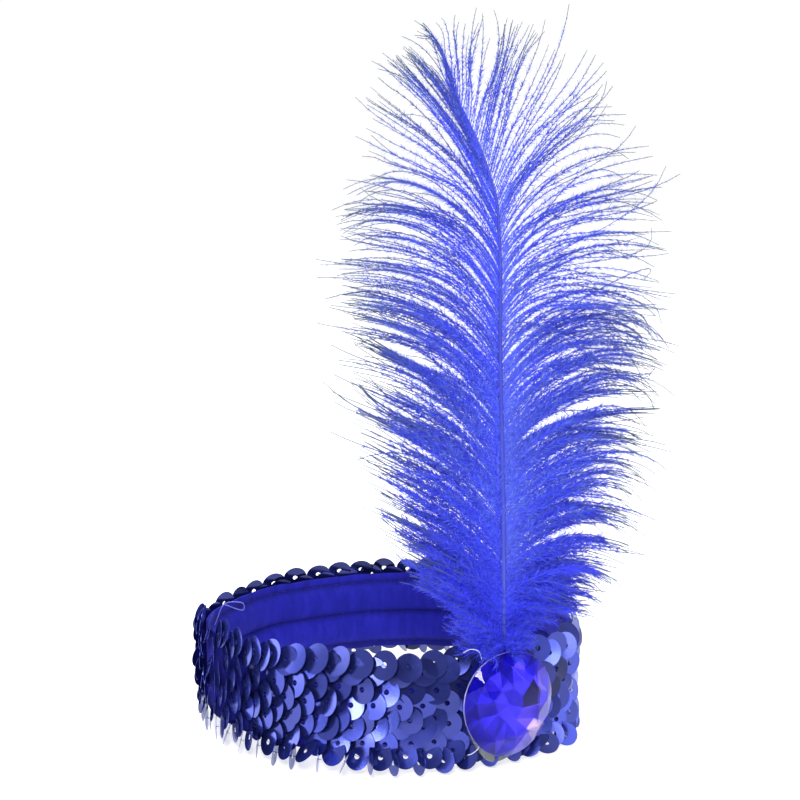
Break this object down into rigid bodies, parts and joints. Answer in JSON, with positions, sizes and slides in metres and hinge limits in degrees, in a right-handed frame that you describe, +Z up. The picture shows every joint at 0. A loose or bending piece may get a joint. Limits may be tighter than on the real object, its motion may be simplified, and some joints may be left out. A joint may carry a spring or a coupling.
{
  "type": "flapper headband",
  "caption": "Stretch costume headband: a loop of wide elastic faced all round with overlapping sequins, with an upright ostrich plume and a large faceted oval stone at the front.",
  "frame": {"origin": "on the surface the headband stands on, under the middle of its bounding box", "axes": "+Z up along the plume, +X to the wearer's left as seen from the front, +Y from the plume's front to the back of the loop"},
  "size_m": [0.158, 0.1264, 0.25],
  "materials": {
    "elastic": "matt velvety stretch elastic with padded ribs",
    "sequins": "satin metallic film",
    "shaft": "dyed quill, slight gloss",
    "plume": "dyed feather barbs, soft and fuzzy",
    "stone": "clear faceted acrylic with a foiled flat back",
    "glue": "clear set hot-melt glue"
  },
  "bodies": {
    "root": {"elastic_band": "elastic", "sequin_facing": "sequins", "feather_shaft": "shaft", "plume": "plume", "gem": "stone", "glue_pad": "glue"}
  },
  "joints": []
}
